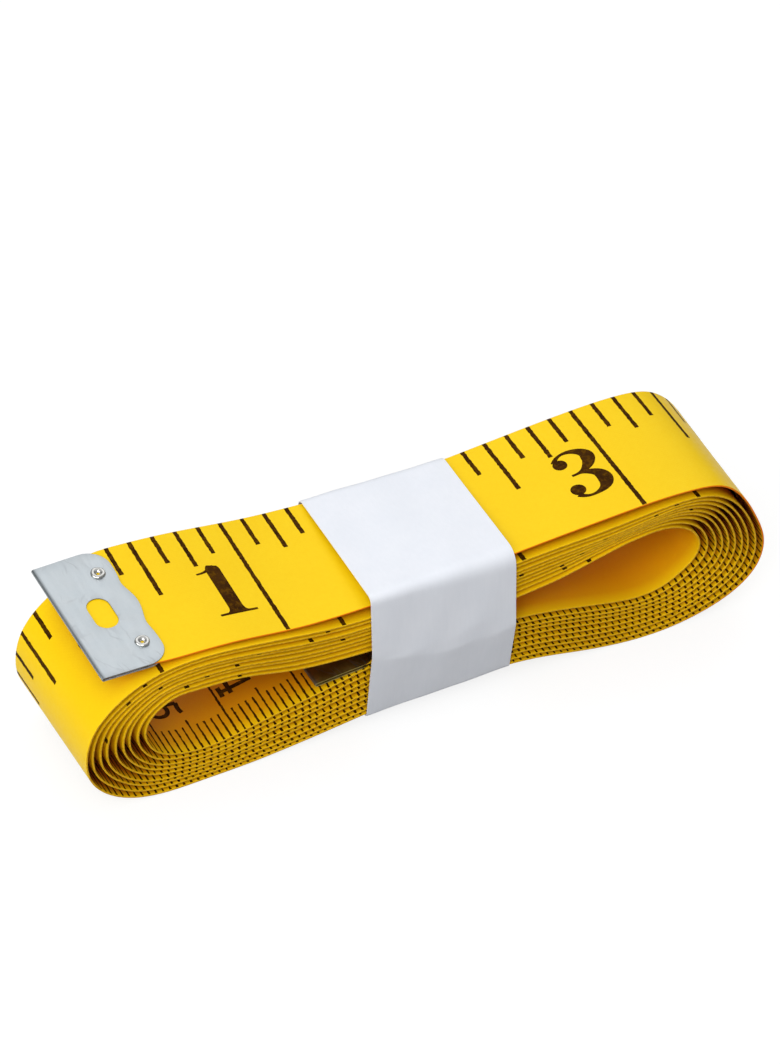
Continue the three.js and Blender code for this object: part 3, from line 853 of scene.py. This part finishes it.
def tape_vinyl():
    m = Material("tape_vinyl")
    chart = m.add("UVMap", uv_map="Tape").outputs[0]
    place = m.add("TexCoord").outputs["Object"]
    parts = m.add("SeparateXYZ", {0: chart})
    waves = CHART_UNIT * 2 * math.pi / WEAVE
    threads = m.math("SINE", m.math("MULTIPLY", parts.outputs[0], waves))
    picks = m.math("SINE", m.math("MULTIPLY", parts.outputs[1], waves))
    weave = m.math("MULTIPLY", threads, picks)
    blotch = m.noise(place, 90.0, 3.0)
    grain = m.noise(place, 1800.0, 3.0)
    colour = m.blend(m.ramp(blotch, 0.3, 0.7), (0.97, 0.635, 0.003, 1), (0.99, 0.665, 0.004, 1))
    colour = m.blend(m.ramp(grain, 0.35, 0.7, 0.0, 0.2), colour, (0.93, 0.56, 0.003, 1))
    across = m.math("ABSOLUTE", parts.outputs[1])
    # Painted shade: where the tape is hidden from the open around it, its colour turns a deep
    # orange-brown, fully across the middle of its width and less near its edges
    hidden = m.add("AmbientOcclusion", {"Distance": 20 * MM}, samples=8, only_local=True).outputs["AO"]
    deep = m.math("MULTIPLY", m.ramp(hidden, 0.1, 0.95, 1.0, 0.0), m.ramp(across, *PAINTED_SHADE_ENDS, 1.0, 0.3))
    colour = m.blend(deep, colour, (0.72, 0.205, 0.001, 1))
    frayed = m.ramp(m.noise(place, 2400.0, 3.0, 0.6), 0.35, 0.65)
    core = m.blend(frayed, (0.62, 0.31, 0.005, 1), (0.88, 0.51, 0.012, 1))
    # Painted glow: the cut edge of the outermost turn is tinted orange, for light shining through the
    # vinyl
    core = m.blend(m.ramp(parts.outputs[0], *PAINTED_GLOW_ENDS, 1.0, 0.0), core, (0.95, 0.22, 0.004, 1))
    colour = m.blend(m.ramp(across, *CUT_EDGE), colour, core)
    height = m.math("ADD", m.math("MULTIPLY", weave, 0.5), grain)
    normal = m.bump(height, 0.012, 0.35)
    rough = m.ramp(grain, 0.3, 0.7, 0.38, 0.5)
    return m.set(Base_Color=colour, Roughness=rough, Normal=normal, Specular_IOR_Level=0.12)


def print_ink():
    m = Material("print_ink")
    place = m.add("TexCoord").outputs["Object"]
    specks = m.noise(place, 1500.0, 4.0, 0.7)
    wear = m.noise(place, 420.0, 3.0, 0.6)
    dark, worn = (0.034, 0.011, 0.001, 1), (0.125, 0.052, 0.001, 1)
    colour = m.blend(m.ramp(wear, 0.35, 0.65), dark, (0.064, 0.023, 0.002, 1))
    colour = m.blend(m.ramp(specks, 0.48, 0.68), colour, worn)
    normal = m.bump(specks, 0.015, 0.6)
    rough = m.ramp(specks, 0.3, 0.7, 0.42, 0.62)
    return m.set(Base_Color=colour, Roughness=rough, Normal=normal, Specular_IOR_Level=0.02)


def tip_steel(name, dull, clean):
    m = Material(name)
    place = m.add("TexCoord").outputs["Object"]
    blotch = m.noise(place, 380.0, 4.0, 0.6)
    fine = m.noise(place, 2600.0, 3.0, 0.6)
    stretched = m.add("Mapping", {"Vector": place, "Scale": (1.0, 0.12, 1.0)}).outputs[0]
    streaks = m.noise(stretched, 1500.0, 3.0, 0.6)
    chart = m.add("UVMap", uv_map="Sheet").outputs[0]
    drift = m.add("TexNoise", {"Vector": chart, "Scale": 3.0, "Detail": 1.0}).outputs[1]
    wander = m.add("VectorMath", {0: drift, 3: 0.35}, operation="SCALE").outputs[0]
    bent = m.add("VectorMath", {0: chart, 1: wander}, operation="ADD").outputs[0]
    slant = {"Vector": bent, "Rotation": (0, 0, 0.5), "Scale": (3.2, 0.8, 1.0)}
    slanted = m.add("Mapping", slant).outputs[0]
    cells = m.add("TexVoronoi", {"Vector": slanted, "Scale": 1.6}, feature="DISTANCE_TO_EDGE").outputs[0]
    here = m.ramp(m.noise(chart, 2.6, 1.0), 0.50, 0.62)
    crease = m.math("MULTIPLY", m.ramp(cells, 0.0, 0.05, 1.0, 0.0), here)
    along = m.add("SeparateXYZ", {0: chart}).outputs[0]
    colour = m.blend(m.ramp(blotch, 0.3, 0.7), dull, clean)
    # Painted dark reflection along the fold: within 0.3 mm of it the steel is darkened, fading out by 0.6
    # mm
    colour = m.blend(m.ramp(along, 0.03, 0.06, 0.7, 0.0), colour, (0.16, 0.18, 0.19, 1))
    colour = m.blend(m.math("MULTIPLY", crease, 0.45), colour, (0.34, 0.36, 0.38, 1))
    rough = m.math("ADD", m.ramp(blotch, 0.3, 0.7, 0.34, 0.48), m.ramp(streaks, 0.3, 0.7, -0.04, 0.04))
    normal = m.bump(m.math("ADD", fine, m.math("MULTIPLY", blotch, 2.0)), 0.02, 0.5)
    normal = m.bump(crease, 0.04, -0.4, normal)
    return m.set(Base_Color=colour, Metallic=1.0, Roughness=rough, Normal=normal)


def cut_steel(name, dull, clean):
    m = Material(name)
    marks = m.noise(m.add("TexCoord").outputs["Object"], 1800.0, 3.0, 0.6)
    colour = m.blend(m.ramp(marks, 0.3, 0.7), dull, clean)
    return m.set(Base_Color=colour, Metallic=1.0, Roughness=m.ramp(marks, 0.3, 0.7, 0.35, 0.55),
                 Normal=m.bump(marks, 0.02, 0.5))


def rivet_steel():
    m = Material("rivet_steel")
    place = m.add("TexCoord").outputs["Object"]
    marks = m.noise(place, 2200.0, 3.0, 0.6)
    colour = m.blend(m.ramp(marks, 0.3, 0.7), (0.52, 0.52, 0.50, 1), (0.68, 0.68, 0.66, 1))
    return m.set(Base_Color=colour, Metallic=1.0, Roughness=m.ramp(marks, 0.3, 0.7, 0.14, 0.24),
                 Normal=m.bump(marks, 0.02, 0.12))


def white_paper():
    m = Material("white_paper")
    place = m.add("TexCoord").outputs["Object"]
    fibres = m.add("Mapping", {"Vector": place, "Scale": (1.0, 0.35, 0.12)}).outputs[0]
    streaks = m.noise(fibres, 2600.0, 3.0, 0.6)
    cloud = m.noise(place, 240.0, 3.0)
    fine = m.noise(place, 5200.0, 2.0)
    colour = m.blend(m.ramp(cloud, 0.3, 0.7), (0.84, 0.87, 0.935, 1), (0.87, 0.895, 0.955, 1))
    colour = m.blend(m.ramp(streaks, 0.35, 0.75, 0.0, 0.3), colour, (0.79, 0.82, 0.88, 1))
    height = m.math("ADD", streaks, m.math("MULTIPLY", fine, 0.6))
    return m.set(Base_Color=colour, Roughness=m.ramp(streaks, 0.3, 0.7, 0.62, 0.78),
                 Normal=m.bump(height, 0.02, 0.5))


# Stage


def floor_material():
    """A floor that looks white to the camera, and lights the object only as a grey one does."""
    m = Material("floor_white")
    rays = m.add("LightPath").outputs
    seen = m.math("MAXIMUM", rays["Is Camera Ray"], rays["Is Glossy Ray"])
    seen = m.math("MAXIMUM", seen, rays["Is Transmission Ray"])
    grain = m.noise(m.add("TexCoord").outputs["Object"], 60.0, 2.0)
    colour = m.blend(grain, (0.24, 0.24, 0.24, 1), (0.26, 0.26, 0.26, 1))
    glow = m.math("MULTIPLY", seen, 0.8)
    return m.set(Base_Color=colour, Roughness=0.9, Emission_Color=(1, 1, 1, 1), Emission_Strength=glow,
                 Specular_IOR_Level=0.0)


FLOOR_HALF, FLOOR_POINTS = 1500.0, 7


def build_floor():
    ticks = np.linspace(-FLOOR_HALF, FLOOR_HALF, FLOOR_POINTS)
    points = [(x, y, 0) for x in ticks for y in ticks]
    floor = make_object("floor", np.array(points) * MM, grid_faces(FLOOR_POINTS, FLOOR_POINTS))
    floor.data.materials.append(floor_material())


# Strength of the world at the horizon and straight above
WORLD_LIGHT = (0.05, 0.78)


def build_world():
    """A studio brighter above than at the sides, which the camera sees as white."""
    world = bpy.data.worlds.new("studio")
    bpy.context.scene.world = world
    world.use_nodes = True
    tree = world.node_tree
    background = tree.nodes["Background"]
    background.inputs["Color"].default_value = (1, 1, 1, 1)
    place = tree.nodes.new("ShaderNodeTexCoord")
    parts = tree.nodes.new("ShaderNodeSeparateXYZ")
    light = tree.nodes.new("ShaderNodeMapRange")
    light.inputs[3].default_value, light.inputs[4].default_value = WORLD_LIGHT
    path = tree.nodes.new("ShaderNodeLightPath")
    strength = tree.nodes.new("ShaderNodeMix")
    strength.inputs[3].default_value = 1.0
    tree.links.new(place.outputs["Generated"], parts.inputs[0])
    tree.links.new(parts.outputs[2], light.inputs[0])
    tree.links.new(path.outputs["Is Camera Ray"], strength.inputs[0])
    tree.links.new(light.outputs[0], strength.inputs[2])
    tree.links.new(strength.outputs[0], background.inputs["Strength"])


# Middle of the object, which the lamps point at
LIT_POINT = Vector((0, 0, 10)) * MM


def add_lamp(name, place, size, power):
    lamp = bpy.data.lights.new(name, "AREA")
    lamp.shape, lamp.size, lamp.energy = "SQUARE", size * MM, power
    holder = bpy.data.objects.new(name, lamp)
    bpy.context.scene.collection.objects.link(holder)
    holder.location = Vector(place) * MM
    holder.rotation_euler = (LIT_POINT - holder.location).to_track_quat("-Z", "Y").to_euler()


# Camera: azimuth, elevation and roll, distance to the target, and the lens
CAMERA_TURN = (-27.21, 42.355, 1.71)
CAMERA_DISTANCE = 701.31
CAMERA_TARGET = (-1.125, 0.0, 22.0)
LENS, SENSOR = 186.02, 36.0
CLIP_START, CLIP_END = 0.01, 20


def build_camera():
    azimuth, elevation, roll = (math.radians(angle) for angle in CAMERA_TURN)
    out = math.cos(elevation)
    back = Vector((math.sin(azimuth) * out, -math.cos(azimuth) * out, math.sin(elevation)))
    level = Vector((math.cos(azimuth), math.sin(azimuth), 0))
    above = back.cross(level)
    right = level * math.cos(roll) + above * math.sin(roll)
    up = above * math.cos(roll) - level * math.sin(roll)
    data = bpy.data.cameras.new("camera")
    data.lens, data.sensor_width = LENS, SENSOR
    data.clip_start, data.clip_end = CLIP_START, CLIP_END
    camera = bpy.data.objects.new("camera", data)
    bpy.context.scene.collection.objects.link(camera)
    place = (Vector(CAMERA_TARGET) + back * CAMERA_DISTANCE) * MM
    camera.matrix_world = Matrix.Translation(place) @ Matrix((right, up, back)).transposed().to_4x4()
    bpy.context.scene.camera = camera


bpy.context.scene.view_settings.view_transform = "Standard"
build_camera()
build_floor()
build_world()
add_lamp("key", (-270, -402, 450), 380, 1.85)
add_lamp("back", (236, 463, 468), 700, 1.2)
add_lamp("side", (-550, -60, 180), 400, 1.35)

vinyl, ink = tape_vinyl(), print_ink()
# The inner tip and its cut edges are shaded copies of the steel: their dark brown-gold is painted shade
# and a painted reflection of the yellow tape round them
steels = {"outer": tip_steel("outer_tip_steel", (0.47, 0.515, 0.545, 1), (0.56, 0.60, 0.625, 1)),
          "inner": tip_steel("inner_tip_steel_painted_shade", (0.24, 0.175, 0.04, 1), (0.40, 0.30, 0.09, 1))}
cuts = {"outer": cut_steel("outer_cut_steel", (0.13, 0.13, 0.12, 1), (0.30, 0.30, 0.28, 1)),
        "inner": cut_steel("inner_cut_steel_painted_shade", (0.15, 0.12, 0.03, 1), (0.34, 0.28, 0.08, 1))}
bright, paper = rivet_steel(), white_paper()

tape = dress(build_tape(), "hank", "yellow_vinyl", vinyl)
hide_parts("tape_ribbon")
prints = [dress(build(), "hank", "yellow_vinyl", ink) for build in (inch_print, centimetre_print)]
for end, at_start in (("outer", True), ("inner", False)):
    tip = dress(build_tip(end + "_tip", at_start, steels[end], cuts[end]), "hank", "tip_steel")
    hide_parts(end + "_end_tip")
    for place, side in (("near", -1), ("far", 1)):
        rivet = dress(build_rivet(f"{end}_rivet_{place}", at_start, side), "hank", "eyelet_steel", bright)
        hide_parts(f"{end}_eyelet_{place}")

sleeve, girth = build_sleeve()
dress(sleeve, "band", "white_paper", paper)
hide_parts("paper_band")
